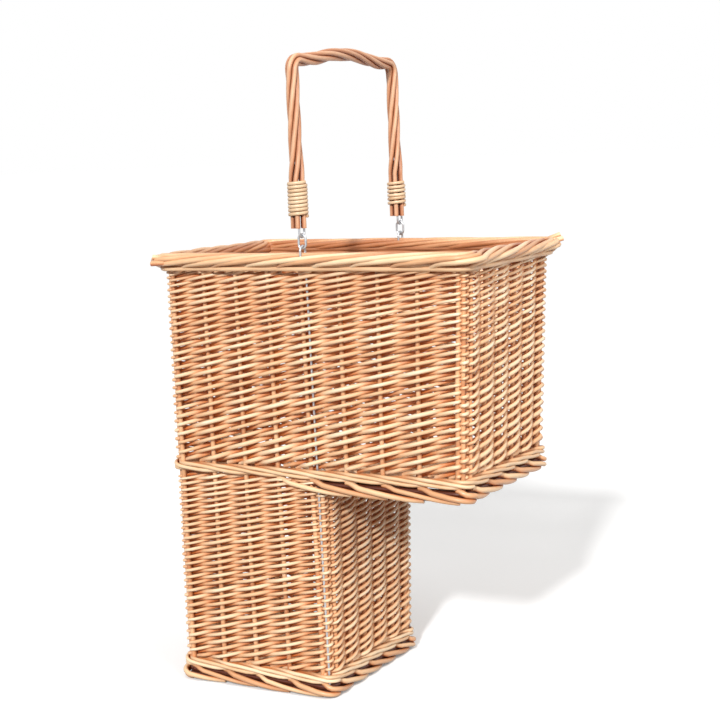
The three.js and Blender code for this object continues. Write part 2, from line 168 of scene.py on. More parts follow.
def ringRail(z, upper, strands=0):
    # a ring of points in the middle of the wall, with the same number in every bay between stakes
    # strands that climb the wall start evenly round it and also pass a stake in each corner
    line = ringLine(z, upper)
    travel = np.concatenate(([0], np.cumsum(np.hypot(*np.diff(line, axis=0).T))))
    total = travel[-1]

    def at(s):
        s = np.mod(s, total)
        return np.stack((np.interp(s, travel, line[:, 0]), np.interp(s, travel, line[:, 1])), 1)

    tried = np.linspace(0, total, railSteps["tried"] + 1)[:-1]
    places = at(tried)
    stakeSpots = ringStakes(z, upper, strands > 0)
    marks = [tried[np.argmin(np.hypot(*(places - spot).T))] for spot in stakeSpots]
    marks = [marks[0] + (mark - marks[0]) % total for mark in marks] + [marks[0] + total]
    share = np.arange(perBay) / perBay
    s = np.concatenate([mix(a, b, share) for a, b in zip(marks, marks[1:])])
    run = at(s + railSteps["tangent"]) - at(s - railSteps["tangent"])
    run /= np.hypot(run[:, 0], run[:, 1])[:, None]
    points = np.column_stack((at(s), np.full(len(s), z))) * mm
    outward = np.column_stack((run[:, 1], -run[:, 0], np.zeros(len(s))))
    steps = railSteps["perCorner"]
    apexes = [travel[(steps + 1) * quarter + steps // 2] for quarter in range(4)]
    gaps = np.min([np.abs((s - apex + total / 2) % total - total / 2) for apex in apexes], axis=0)
    corner = np.clip(1 - gaps / railSteps["cornerFade"], 0, 1) ** 2
    around = (s - s[0]) / total
    start = np.zeros(len(s))
    start[:strands] = [np.argmin(np.abs(around - i / strands)) for i in range(strands)]
    return railObject(points, outward, corner=corner, around=around, start=start)


def lineRail(start, end, bays):
    count = bays * perBay + 1
    points = mix(np.array([start]), np.array([end]), np.linspace(0, 1, count)[:, None]) * mm
    none = np.zeros(count)
    return railObject(points, np.tile((0.0, 0.0, 1.0), (count, 1)), corner=none, around=none, start=none)


def wallRails(foot, top, upper, strands=0):
    return {"Foot Rail": ringRail(foot, upper, strands), "Top Rail": ringRail(top, upper, strands)}


def evenly(label, value):
    # the same at the foot and at the top
    return {"Foot " + label: value, "Top " + label: value}


class NodeBench:
    # a node tree under construction
    def __init__(self, tree):
        self.tree = tree

    def join(self, value, socket):
        if isinstance(value, bpy.types.NodeSocket):
            self.tree.links.new(value, socket)
        else:
            socket.default_value = value

    def fit(self, node, joins):
        for key, value in dict(joins).items():
            self.join(value, node.inputs[key])

    def add(self, kind, joins=(), **settings):
        node = self.tree.nodes.new(kind)
        for key, value in settings.items():
            setattr(node, key, value)
        self.fit(node, joins)
        return node

    def make(self, kind, joins=(), **settings):
        # a node of which the first output is used
        return self.add(kind, joins, **settings).outputs[0]

    def calc(self, operation, *values):
        return self.make("ShaderNodeMath", enumerate(values), operation=operation)

    def vector(self, operation, *values):
        places = (0, "Scale") if operation == "SCALE" else (0, 1)
        return self.make("ShaderNodeVectorMath", zip(places, values), operation=operation)

    def combine(self, x, y, z):
        return self.make("ShaderNodeCombineXYZ", {0: x, 1: y, 2: z})

    def moved(self, place, direction, amount):
        return self.vector("ADD", place, self.vector("SCALE", direction, amount))

    def blend(self, a, b, share):
        # float mix, not held between its ends
        return self.calc("MULTIPLY_ADD", self.calc("SUBTRACT", b, a), share, a)

    def swayed(self, value, noise, amount):
        # noise of one half changes nothing
        return self.calc("MULTIPLY_ADD", self.calc("SUBTRACT", noise, 0.5), amount, value)

    def share(self, value, low, high, interpolation="LINEAR"):
        # 0 at low and 1 at high, held beyond them
        joins = {"Value": value, "From Min": low, "From Max": high}
        return self.make("ShaderNodeMapRange", joins, interpolation_type=interpolation)

    def noise(self, place, scale, detail):
        return self.add("ShaderNodeTexNoise", {"Vector": place, "Scale": scale, "Detail": detail}).outputs


class GrowBench(NodeBench):
    # a geometry tree that draws rods, with its named inputs listed by their kinds
    subtypes = {"Length": "DISTANCE", "Angle": "ANGLE"}

    def __init__(self, name, **inputs):
        super().__init__(bpy.data.node_groups.new(name, "GeometryNodeTree"))
        face = self.tree.interface
        for kind, labels in inputs.items():
            socketType = "NodeSocket" + ("Float" if kind in self.subtypes else kind)
            for label in labels:
                item = face.new_socket(label, in_out="INPUT", socket_type=socketType)
                if kind in self.subtypes:
                    item.subtype = self.subtypes[kind]
        face.new_socket("Geometry", in_out="OUTPUT", socket_type="NodeSocketGeometry")
        self.given = self.tree.nodes.new("NodeGroupInput").outputs

    def whole(self, value):
        return self.make("FunctionNodeFloatToInt", {0: value}, rounding_mode="ROUND")

    def chance(self, low, high, number, seed):
        node = self.add("FunctionNodeRandomValue", data_type="FLOAT")
        for key, value in (("Min", low), ("Max", high), ("ID", number), ("Seed", seed)):
            socket = [s for s in node.inputs if s.name == key and s.enabled][0]
            self.join(value, socket)
        return [s for s in node.outputs if s.enabled][0]

    def waver(self, place, scale):
        # three smooth random values
        colour = self.noise(place, scale, 1.0)["Color"]
        return self.add("ShaderNodeSeparateXYZ", {0: colour}).outputs

    def position(self):
        return self.make("GeometryNodeInputPosition")

    def along(self):
        return self.add("GeometryNodeSplineParameter").outputs

    def named(self, name, kind="FLOAT_VECTOR"):
        return self.make("GeometryNodeInputNamedAttribute", {"Name": name}, data_type=kind)

    def store(self, geometry, name, value, kind="FLOAT"):
        node = self.add("GeometryNodeStoreNamedAttribute", {"Geometry": geometry, "Name": name},
                        data_type=kind, domain="POINT")
        self.join(value, node.inputs["Value"])
        return node.outputs[0]

    def rail(self, label):
        return self.add("GeometryNodeObjectInfo", {"Object": self.given[label]}).outputs["Geometry"]

    def size(self, rail):
        counts = self.add("GeometryNodeAttributeDomainSize", {0: rail}, component="MESH").outputs
        return counts["Point Count"]

    def sample(self, rail, field, index, kind="FLOAT_VECTOR"):
        joins = {"Geometry": rail, "Value": field, "Index": index}
        return self.make("GeometryNodeSampleIndex", joins, data_type=kind, domain="POINT")

    def read(self, rail, name, index):
        return self.sample(rail, self.named(name, "FLOAT"), index, "FLOAT")

    def resampled(self, curve):
        return self.make("GeometryNodeResampleCurve", {"Curve": curve, "Count": self.given["Points"]})

    def guide(self):
        # a straight line with as many points as a rod
        return self.resampled(self.make("GeometryNodeCurvePrimitiveLine"))

    def drawn(self):
        # the given edges with as many points as a rod
        return self.resampled(self.make("GeometryNodeMeshToCurve", {"Mesh": self.given["Geometry"]}))

    def copies(self, curve, count):
        # as many curves as rods, and the number of each
        joins = {"Geometry": curve, "Amount": count}
        copied = self.add("GeometryNodeDuplicateElements", joins, domain="SPLINE").outputs
        return copied[0], copied["Duplicate Index"]

    def skin(self, curve, radius, tone, along, facing, flat=None):
        # rods on the curve, with attributes for the grain and for how open each side lies, which the
        # materials use to paint highlight and shade
        curve = self.make("GeometryNodeSetCurveRadius", {"Curve": curve, "Radius": radius})
        curve = self.store(curve, "tone", tone)
        curve = self.store(curve, "along", along)
        curve = self.store(curve, "facing", facing, "FLOAT_VECTOR")
        joins = {"Resolution": self.given["Sides"], "Radius": 1.0}
        ring = self.make("GeometryNodeCurvePrimitiveCircle", joins)
        ring = self.store(ring, "ring", self.position(), "FLOAT_VECTOR")
        if flat is not None:
            ring = self.make("GeometryNodeTransform", {"Geometry": ring, "Scale": flat})
        thick = self.make("GeometryNodeInputRadius")
        joins = {"Curve": curve, "Profile Curve": ring, "Scale": thick, "Fill Caps": True}
        mesh = self.make("GeometryNodeCurveToMesh", joins)
        # 1 on the side of a rod that lies open, -1 on the side that lies against its neighbours: the mask
        # for painted highlight and painted shade
        sides = {0: self.make("GeometryNodeInputNormal"), 1: self.named("facing")}
        lit = self.add("ShaderNodeVectorMath", sides, operation="DOT_PRODUCT").outputs["Value"]
        mesh = self.store(mesh, "lit", lit)
        smooth = self.make("GeometryNodeSetShadeSmooth", {"Geometry": mesh})
        real = self.make("GeometryNodeRealizeInstances", {"Geometry": smooth})
        joins = {"Geometry": real, "Material": self.given["Material"]}
        dressed = self.make("GeometryNodeSetMaterial", joins)
        self.tree.links.new(dressed, self.tree.nodes.new("NodeGroupOutput").inputs[0])
        return self.tree


def lineMesh(name, lines):
    points, edges = [], []
    for line in lines:
        first = len(points)
        points += [tuple(value * mm for value in point) for point in line]
        edges += [(first + i, first + i + 1) for i in range(len(line) - 1)]
    mesh = bpy.data.meshes.new(name)
    mesh.from_pydata(points, edges, [])
    return mesh


def inTreeUnits(item, value):
    # settings are in millimetres and degrees, a tree's inputs in metres and radians
    if item.socket_type == "NodeSocketVector":
        return [part * mm for part in value]
    if item.socket_type == "NodeSocketFloat":
        return value * {"DISTANCE": mm, "ANGLE": math.radians(1)}.get(item.subtype, 1.0)
    return value


def growPiece(name, tree, inputs, lines=()):
    # sets the tree's inputs by identifier, grows the geometry and keeps it as a plain mesh
    piece = addObject(name, lineMesh(name, lines))
    modifier = piece.modifiers.new("grow", "NODES")
    modifier.node_group = tree
    sockets = {item.name: item for item in tree.interface.items_tree if item.in_out == "INPUT"}
    for label, value in inputs.items():
        modifier[sockets[label].identifier] = inTreeUnits(sockets[label], value)
    graph = bpy.context.evaluated_depsgraph_get()
    grown = bpy.data.meshes.new_from_object(piece.evaluated_get(graph), preserve_all_data_layers=True,
                                            depsgraph=graph)
    piece.modifiers.clear()
    piece.data = grown
    grown.name = name
    for value in inputs.values():
        if isinstance(value, bpy.types.Object):
            bpy.data.objects.remove(value)  # a rail, of no more use
    print(name, "has", sum(len(p.vertices) - 2 for p in grown.polygons), "triangles")
    return piece


def settle(piece, body, slot, *nodes):
    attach(piece, body)
    if nodes:
        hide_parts(*nodes)


# Materials

def linear(*colour):
    # sRGB from 0 to 255 to the scene's linear colours, opaque
    shares = [value / 255 for value in colour]
    return (*[s / 12.92 if s <= 0.04045 else ((s + 0.055) / 1.055) ** 2.4 for s in shares], 1.0)


def newMaterial(name):
    material = bpy.data.materials.new(name)
    material.use_nodes = True
    return material, NodeBench(material.node_tree), material.node_tree.nodes


def colourRamp(bench, share, stops):
    ramp = bench.add("ShaderNodeValToRGB", {"Fac": share})
    elements = ramp.color_ramp.elements
    while len(elements) < len(stops):
        elements.new(0.5)
    for element, (at, *colour) in zip(elements, stops):
        element.position = at
        element.color = linear(*colour)
    return ramp.outputs[0]


rodLook = {
    "grainScale": 2.1, "grainSpread": 1.3, "grainStep": 37.0, "streak": 60.0, "streaky": 0.4,
    "patch": 45.0, "patchy": 0.3,
    "speck": 950.0, "speckHeight": 0.35, "bump": 0.25, "bumpHeight": 0.4,  # mm
    "crest": 0.3,  # painted highlight: how much paler the open side of a rod is, and how much darker its sides that face away
    "open": 0.3, "closed": -0.95, "deep": (0.95, 0.5, 0.22, 1.0),  # painted shade: darker, redder tint where rods lie together and behind stakes
    "rough": 0.3, "roughSpread": 0.2, "gloss": 0.6,
}
paleWillow = [(0.0, 208, 149, 103), (0.35, 225, 176, 132), (0.7, 238, 206, 169), (1.0, 251, 240, 217)]
looks = {
    "willowWeave": {"stops": paleWillow},
    "willowFloor": {"stops": paleWillow},
    "willowStake": {"stops": [(0.0, 190, 132, 90), (0.5, 218, 170, 126), (1.0, 238, 202, 162)]},
    "willowBorder": {"stops": [(0.0, 188, 128, 86), (0.4, 212, 158, 114), (1.0, 238, 202, 160)]},
    "willowWale": {"stops": [(0.0, 190, 134, 92), (0.4, 218, 176, 134), (1.0, 246, 224, 190)]},
    "willowRim": {"stops": [(0.0, 172, 108, 68), (0.5, 219, 168, 124), (1.0, 243, 212, 173)]},
    # painted shade: darker brown for the rim's core rods and the rods inside it
    "willowInner": {"stops": [(0.0, 138, 84, 54), (1.0, 186, 124, 84)]},
    # painted shade: near-black brown for the core rods that fill the gaps in the foot and overhang borders
    "willowShade": {"stops": [(0.0, 78, 43, 28), (1.0, 112, 64, 42)]},
    # the handle's painted shade is darker, in the crevices between its twisted rods
    "steamedRod": {"stops": [(0.0, 142, 82, 50), (0.5, 184, 123, 86), (1.0, 228, 184, 148)], "crest": 0.55,
                   "streaky": 0.55, "rough": 0.32, "deep": (0.5, 0.24, 0.13, 1.0)},
    "splitCane": {"stops": [(0.0, 174, 132, 98), (0.5, 204, 168, 130), (1.0, 230, 204, 170)]},
}


def rodMaterial(name, look):
    # peeled willow: each rod has its own tone, streaks run along it, and it dulls in patches; a painted
    # highlight pales its open side and painted shade darkens it where it lies against other rods
    material, bench, nodes = newMaterial(name)
    calc = bench.calc
    place = bench.add("ShaderNodeTexCoord").outputs["Object"]
    tone, along, lit = [bench.add("ShaderNodeAttribute", attribute_name=label).outputs["Fac"]
                        for label in ("tone", "along", "lit")]
    ring = bench.add("ShaderNodeAttribute", attribute_name="ring").outputs["Vector"]
    apart, streak = calc("MULTIPLY", tone, look["grainStep"]), calc("MULTIPLY", along, look["streak"])
    spread = bench.vector("MULTIPLY", ring, [look["grainSpread"]] * 3)
    grainPlace = bench.vector("ADD", spread, bench.combine(apart, 0.0, streak))
    grain = bench.noise(grainPlace, look["grainScale"], 3.0)[0]
    patch = bench.noise(place, look["patch"], 2.0)[0]
    speck = bench.noise(place, look["speck"], 1.0)[0]
    shade = bench.swayed(tone, patch, look["patchy"])
    shade = bench.swayed(shade, grain, look["streaky"])
    # painted highlight: the open side of a rod is paler, its other sides darker
    shade = bench.swayed(shade, lit, look["crest"])
    colour = colourRamp(bench, shade, look["stops"])
    # painted shade: the tint deepens where a side of a rod faces away from its open side
    shadeMask = bench.share(lit, look["open"], look["closed"], "SMOOTHSTEP")
    deep = bench.add("ShaderNodeMix", {0: shadeMask, 6: colour, 7: look["deep"]}, data_type="RGBA",
                     blend_type="MULTIPLY").outputs[2]
    bump = bench.make("ShaderNodeBump", {"Strength": look["bump"], "Distance": look["bumpHeight"] * mm,
                                         "Height": calc("MULTIPLY_ADD", speck, look["speckHeight"], grain)})
    bench.fit(nodes["Principled BSDF"], {
        "Base Color": deep, "Roughness": calc("MULTIPLY_ADD", grain, look["roughSpread"], look["rough"]),
        "Normal": bump, "Specular IOR Level": look["gloss"]})
    return material


finish = {name: rodMaterial(name, {**rodLook, **look}) for name, look in looks.items()}

wireLook = {"stops": [(0.0, 150, 152, 156), (1.0, 208, 210, 213)], "spangle": 700.0, "smooth": 0.22,
            "rough": 0.42, "metallic": 0.7}


def wireMaterial():
    material, bench, nodes = newMaterial("galvanisedWire")
    spangle = bench.noise(bench.add("ShaderNodeTexCoord").outputs["Object"], wireLook["spangle"], 2.0)[0]
    rough = {"Value": spangle, "To Min": wireLook["smooth"], "To Max": wireLook["rough"]}
    bench.fit(nodes["Principled BSDF"], {
        "Base Color": colourRamp(bench, spangle, wireLook["stops"]),
        "Roughness": bench.make("ShaderNodeMapRange", rough), "Metallic": wireLook["metallic"]})
    return material


galvanisedWire = wireMaterial()
print("materials made")

# Rods of one piece take their random values from places and seeds this far apart
unlike = {"strand": 7.31, "strandSeed": 1.7, "rod": 5.37, "thickness": 3.0, "angle": 5.0}


# Strands: each goes in front of some stakes and behind others, and may climb as it goes

def strandTree():
    bench = GrowBench(
        "wovenStrands", Object=["Foot Rail", "Top Rail"],
        Int=["Strands", "Points", "Points per Bay", "First Point", "Sides", "Seed"],
        Float=["First Level", "Level per Strand", "Levels per Turn", "Rows", "Packing", "Period", "Shift",
               "Bias", "Gain", "Belly", "Tuck", "Corner Tone", "Thick and Thin"],
        Length=["Foot Swing", "Top Swing", "Corner Swing", "Twist", "Uneven", "Foot Radius", "Top Radius",
                "Corner Thin"],
        Material=["Material"])
    given, calc, vector = bench.given, bench.calc, bench.vector
    pace = 0.8  # of the unevenness, for each bay
    toneRange = (0.3, 0.7)
    bayLength = 0.03  # metres of grain
    endMargin = 0.02  # points, more than the tuck of strands that aren't tucked in
    foot, top = bench.rail("Foot Rail"), bench.rail("Top Rail")
    size = bench.size(foot)
    strands, number = bench.copies(bench.guide(), given["Strands"])
    step = bench.along()["Index"]
    start = calc("ADD", bench.read(foot, "start", number), given["First Point"])
    onRail = calc("ADD", start, step)
    index = bench.whole(calc("FLOORED_MODULO", onRail, size))
    bay = calc("DIVIDE", onRail, given["Points per Bay"])

    turns = calc("ADD", bench.read(foot, "around", index), calc("FLOOR", calc("DIVIDE", onRail, size)))
    turns = calc("SUBTRACT", turns, bench.read(foot, "around", bench.whole(start)))
    level = calc("MULTIPLY_ADD", number, given["Level per Strand"], given["First Level"])
    level = calc("MULTIPLY_ADD", turns, given["Levels per Turn"], level)
    rise = calc("DIVIDE", calc("MINIMUM", level, given["Rows"]), given["Rows"])
    curve = calc("MULTIPLY", given["Packing"], calc("SUBTRACT", rise, calc("MULTIPLY", rise, rise)))
    high = calc("ADD", rise, curve)

    low = bench.sample(foot, bench.position(), index)
    climb = vector("SUBTRACT", bench.sample(top, bench.position(), index), low)
    outward = bench.sample(foot, bench.named("outward"), index)
    corner = bench.read(foot, "corner", index)
    turn = calc("DIVIDE", calc("MULTIPLY_ADD", number, given["Shift"], bay), given["Period"])
    angle = calc("MULTIPLY", turn, math.tau)
    wave = calc("MULTIPLY_ADD", calc("COSINE", angle), given["Gain"], given["Bias"])
    wave = calc("MAXIMUM", calc("MINIMUM", wave, 1.0), -1.0)
    swing = bench.blend(given["Foot Swing"], given["Top Swing"], high)
    swing = calc("MULTIPLY_ADD", corner, given["Corner Swing"], swing)
    apart = calc("MULTIPLY", number, unlike["strand"])
    other = calc("MULTIPLY", given["Seed"], unlike["strandSeed"])
    loose = bench.waver(bench.combine(bay, apart, other), pace)
    out = bench.swayed(calc("MULTIPLY", wave, swing), loose[0], given["Uneven"])

    # both ends tuck in behind the stakes
    toEnd = calc("SUBTRACT", calc("SUBTRACT", given["Points"], 1.0), step)
    inside = calc("ADD", calc("MINIMUM", step, toEnd), endMargin)
    shown = bench.share(inside, 0.0, given["Tuck"], "SMOOTHSTEP")
    out = bench.blend(calc("MULTIPLY", swing, -1.0), out, shown)
    lift = calc("MULTIPLY", calc("SINE", angle), calc("MULTIPLY", given["Twist"], -1.0))
    lift = bench.swayed(lift, loose[1], calc("MULTIPLY", given["Uneven"], 2.0))
    place = bench.moved(bench.moved(low, climb, high), outward, out)
    place = bench.moved(place, vector("NORMALIZE", climb), lift)
    strands = bench.make("GeometryNodeSetPosition", {"Geometry": strands, "Position": place})

    odd = bench.chance(-1.0, 1.0, number, calc("ADD", given["Seed"], unlike["thickness"]))
    thick = bench.blend(given["Foot Radius"], given["Top Radius"], high)
    thick = calc("MULTIPLY", thick, calc("MULTIPLY_ADD", odd, given["Thick and Thin"], 1.0))
    thick = calc("MULTIPLY", thick, calc("MULTIPLY_ADD", wave, given["Belly"], 1.0))
    thick = calc("SUBTRACT", thick, calc("MULTIPLY", corner, given["Corner Thin"]))
    tone = bench.chance(*toneRange, number, given["Seed"])
    # painted shade: strands are darker where they pass behind a stake at a corner
    behind = calc("MULTIPLY", corner, calc("SUBTRACT", wave, 1.0))
    tone = calc("MULTIPLY_ADD", behind, given["Corner Tone"], tone)
    # the open side faces out where a strand lies in front of a stake and in where it lies behind, for the
    # painted highlight and shade
    facing = vector("SCALE", outward, wave)
    return bench.skin(strands, thick, tone, calc("MULTIPLY", bay, bayLength), facing)


wovenStrands = strandTree()
untucked = 0.01  # points, for strands with ends that stay where they are

# Walls: in front of one stake and behind the next
wallWeave = {
    "Points per Bay": perBay, "First Level": -0.5, "Period": 2, "Shift": 1, "Gain": 1, "Belly": -0.04,
    "Tuck": 4, "Corner Swing": -0.7, "Corner Tone": 0.2, "Corner Thin": 0.35, "Thick and Thin": 0.13,
    "Material": finish["willowWeave"],
}
upperWeave = {
    "foot": 206.6, "top": 378.0, "inputs": {
        "Strands": 60, "Rows": 52, "Sides": 6, "Packing": 0.26, "Foot Swing": 4.0, "Top Swing": 3.6,
        "Foot Radius": 2.05, "Top Radius": 1.5, "Uneven": 0.55, "Seed": 11},
}
lowerWeave = {
    "foot": 22.2, "top": 194.0, "inputs": {
        "Strands": 44, "Rows": 56, "Sides": 7, "Packing": 0.2, "Foot Swing": 3.9, "Top Swing": 3.6,
        "Foot Radius": 1.85, "Top Radius": 1.45, "Uneven": 0.5, "Seed": 23},
}


def weaveWall(name, setting, upper, node):
    strands = setting["inputs"]["Strands"]
    turns = (setting["inputs"]["Rows"] + 1) / strands
    piece = growPiece(name, wovenStrands, {
        **wallWeave, **setting["inputs"], **wallRails(setting["foot"], setting["top"], upper, strands),
        "Levels per Turn": strands, "Points": round(turns * bayCount(upper, True) * perBay) + 1})
    settle(piece, "basket", "willow_weave", node)


weaveWall("upperWeave", upperWeave, True, "upper_weave")
weaveWall("lowerWeave", lowerWeave, False, "lower_weave")

# Waling: strands that pass in front of three stakes and behind one
waling = {
    "Points per Bay": perBay, "Strands": 4, "First Point": -6 * perBay, "First Level": 0.5, "Rows": 1,
    "Period": 4, "Shift": 1, "Bias": 0.55, "Gain": 1.5, "Twist": 2.6, "Tuck": 2, "Uneven": 0.4,
    "Thick and Thin": 0.06, "Sides": 8, "Material": finish["willowWale"], **evenly("Swing", 4.6),
}
wales = {
    "stepWale": {"upper": True, "centre": 200.3, "half": 6.0, "radius": 1.75, "seed": 31,
                 "node": "step_wale"},
    "baseWale": {"upper": False, "centre": 17.1, "half": 4.8, "radius": 1.7, "seed": 37,
                 "node": "base_wale"},
    "lap": 4,  # points by which a strand's end passes its start
}


def walingBand(name):
    setting = wales[name]
    foot, top = setting["centre"] - setting["half"], setting["centre"] + setting["half"]
    piece = growPiece(name, wovenStrands, {
        **waling, **wallRails(foot, top, setting["upper"]), **evenly("Radius", setting["radius"]),
        "Points": bayCount(setting["upper"]) * perBay + wales["lap"] + 1, "Seed": setting["seed"]})
    settle(piece, "basket", "willow_border", setting["node"])


walingBand("stepWale")
walingBand("baseWale")

# Rods that run on inside the borders and close them, out from the wall's middle by these amounts
innerRods = {
    "Points per Bay": perBay, "First Level": 0.5, "Level per Strand": 1, "Period": 2, "Shift": 1,
    "Tuck": untucked, "Uneven": 0.4, "Thick and Thin": 0.05, "Sides": 8,
}
coreSeed = 45
# the core rods' darker finishes are painted shade in the gaps of the borders
cores = {
    "topCore": {"upper": True, "foot": 381.5, "top": 388.0, "strands": 1, "out": [-1.5, 3.0, 7.5],
                "first": 0, "bays": 30, "wave": 0.0, "radius": 2.7, "finish": "willowInner"},
    "edgeCore": {"upper": True, "foot": 375.6, "top": 383.2, "strands": 2, "out": [7.2], "first": 0,
                 "bays": 30, "wave": 0.15, "radius": 2.2, "finish": "willowBorder"},
    "innerCore": {"upper": True, "foot": 375.6, "top": 383.2, "strands": 2, "out": [-5.0], "first": 0,
                  "bays": 30, "wave": 0.15, "radius": 2.2, "finish": "willowInner"},
    "overhangCore": {"upper": True, "foot": 184.8, "top": 194.0, "strands": 2, "out": [-4.0, -0.5],
                     "first": 4, "bays": 15, "wave": 0.0, "radius": 2.7, "finish": "willowShade"},
    "footCore": {"upper": False, "foot": 1.2, "top": 12.0, "strands": 2, "out": [-3.5, -0.5], "first": 0,
                 "bays": 22, "wave": 0.0, "radius": 2.7, "finish": "willowShade"},
}


def borderCore(name, setting):
    for place, out in enumerate(setting["out"]):
        piece = growPiece(name + str(place + 1), wovenStrands, {
            **innerRods, **wallRails(setting["foot"], setting["top"], setting["upper"]),
            **evenly("Swing", abs(out)), **evenly("Radius", setting["radius"]),
            "Strands": setting["strands"], "Rows": setting["strands"],
            "Points": setting["bays"] * perBay + 1, "First Point": setting["first"] * perBay,
            "Bias": math.copysign(1 - setting["wave"], out), "Gain": setting["wave"],
            "Seed": coreSeed + place, "Material": finish[setting["finish"]]})
        settle(piece, "basket", "willow_border")


for name, setting in cores.items():
    borderCore(name, setting)


# Borders: each stake's end is bent over and lies along the edge with the next ones

def borderTree():
    bench = GrowBench(
        "borderRods", Object=["Rail"],
        Int=["Rods", "Points", "First Point", "Points per Rod", "Sides", "Seed"],
        Float=["Bend", "Tip Tone", "Thick and Thin"],
        Length=["Start Out", "Start Up", "Centre Out", "Centre Up", "Half Width", "Half Height",
                "Corner Out", "Butt Radius", "Tip Radius", "Uneven"],
        Angle=["Start Angle", "End Angle"], Material=["Material"])
    given, calc, vector = bench.given, bench.calc, bench.vector
    pace = 0.06  # of the unevenness, for each point
    angleSpread = 0.12
    toneRange, tipRange = (0.2, 0.85), (0.5, 0.75)
    pointLength = 0.004  # metres of grain
    rail = bench.rail("Rail")
    rods, number = bench.copies(bench.guide(), given["Rods"])
    along = bench.along()
    step, share = along["Index"], along["Factor"]
    onRail = calc("ADD", calc("MULTIPLY_ADD", number, given["Points per Rod"], given["First Point"]), step)
    index = bench.whole(calc("FLOORED_MODULO", onRail, bench.size(rail)))
    base = bench.sample(rail, bench.position(), index)
    outward = bench.sample(rail, bench.named("outward"), index)
    corner = bench.read(rail, "corner", index)

    # round the border's section, after the bend at the start
    angle = bench.blend(given["Start Angle"], given["End Angle"], share)
    turned = bench.chance(-angleSpread, angleSpread, number, calc("ADD", given["Seed"], unlike["angle"]))
    angle = calc("ADD", angle, turned)
    out = calc("MULTIPLY_ADD", calc("COSINE", angle), given["Half Width"], given["Centre Out"])
    out = calc("MULTIPLY_ADD", corner, given["Corner Out"], out)
    up = calc("MULTIPLY_ADD", calc("SINE", angle), given["Half Height"], given["Centre Up"])
    bent = bench.share(share, 0.0, given["Bend"], "SMOOTHSTEP")
    apart = calc("MULTIPLY", number, unlike["rod"])
    loose = bench.waver(bench.combine(calc("MULTIPLY", step, pace), apart, given["Seed"]), 1.0)
    out = bench.swayed(bench.blend(given["Start Out"], out, bent), loose[0], given["Uneven"])
    up = bench.swayed(bench.blend(given["Start Up"], up, bent), loose[1], given["Uneven"])
    place = vector("ADD", bench.moved(base, outward, out), bench.combine(0.0, 0.0, up))
    rods = bench.make("GeometryNodeSetPosition", {"Geometry": rods, "Position": place})

    odd = bench.chance(-1.0, 1.0, number, calc("ADD", given["Seed"], unlike["thickness"]))
    thick = bench.blend(given["Butt Radius"], given["Tip Radius"], share)
    thick = calc("MULTIPLY", thick, calc("MULTIPLY_ADD", odd, given["Thick and Thin"], 1.0))
    tone = bench.chance(*toneRange, number, given["Seed"])
    # painted shade: each rod darkens towards its tip, which lies on the rim's inner side
    tone = calc("MULTIPLY_ADD", bench.share(share, *tipRange), given["Tip Tone"], tone)
    # the side away from the border's middle counts as open, for the painted highlight and shade
    facing = vector("SCALE", outward, calc("COSINE", angle))
    facing = vector("ADD", facing, bench.combine(0.0, 0.0, calc("SINE", angle)))
    return bench.skin(rods, thick, tone, calc("MULTIPLY", onRail, pointLength), facing)


borderRods = borderTree()

bentRods = {"Points per Rod": perBay, "Butt Radius": 2.4, "Tip Radius": 2.0, "Thick and Thin": 0.12,
            "Sides": 8}
lowBorder = {"Start Out": 1.0, "Start Up": 1.5, "Start Angle": 75, "Centre Out": 1.0, "Corner Out": 1.5,
             "Uneven": 1.4, "Material": finish["willowBorder"]}
topBorder = {
    "z": 378.0, "bays": 7.0, "inputs": {
        "Rods": 30, "Start Out": -1.0, "Start Up": -5.0, "Start Angle": -75, "End Angle": 245, "Bend": 0.1,
        "Centre Out": 3.0, "Centre Up": 6.6, "Half Width": 8.6, "Half Height": 4.0, "Corner Out": 3.0,
        # the rim rods' tips, on its inner side, get painted shade
        "Tip Tone": -0.6, "Uneven": 1.8, "Seed": 41, "Material": finish["willowRim"]},
}
overhangBorder = {
    "z": 194.0, "bays": 2.2, "inputs": {
        **lowBorder, "Rods": 17, "First Point": 3 * perBay, "End Angle": -82, "Bend": 0.2,
        "Centre Up": -5.0, "Half Width": 4.4, "Half Height": 4.0, "Seed": 47},
}
footBorder = {
    "z": 12.0, "bays": 2.1, "inputs": {
        **lowBorder, "Rods": 22, "End Angle": -85, "Bend": 0.18, "Centre Up": -5.4, "Half Width": 4.6,
        "Half Height": 4.1, "Seed": 43},
}


def bentBorder(name, setting, upper, node):
    piece = growPiece(name, borderRods, {
        **bentRods, **setting["inputs"], "Rail": ringRail(setting["z"], upper),
        "Points": int(setting["bays"] * perBay) + 1})
    settle(piece, "basket", "willow_border", node)


bentBorder("topBorder", topBorder, True, "top_border")
bentBorder("overhangBorder", overhangBorder, True, "overhang_border")
bentBorder("footBorder", footBorder, False, "foot_border")


# Stakes: tapered rods that stand in the weave

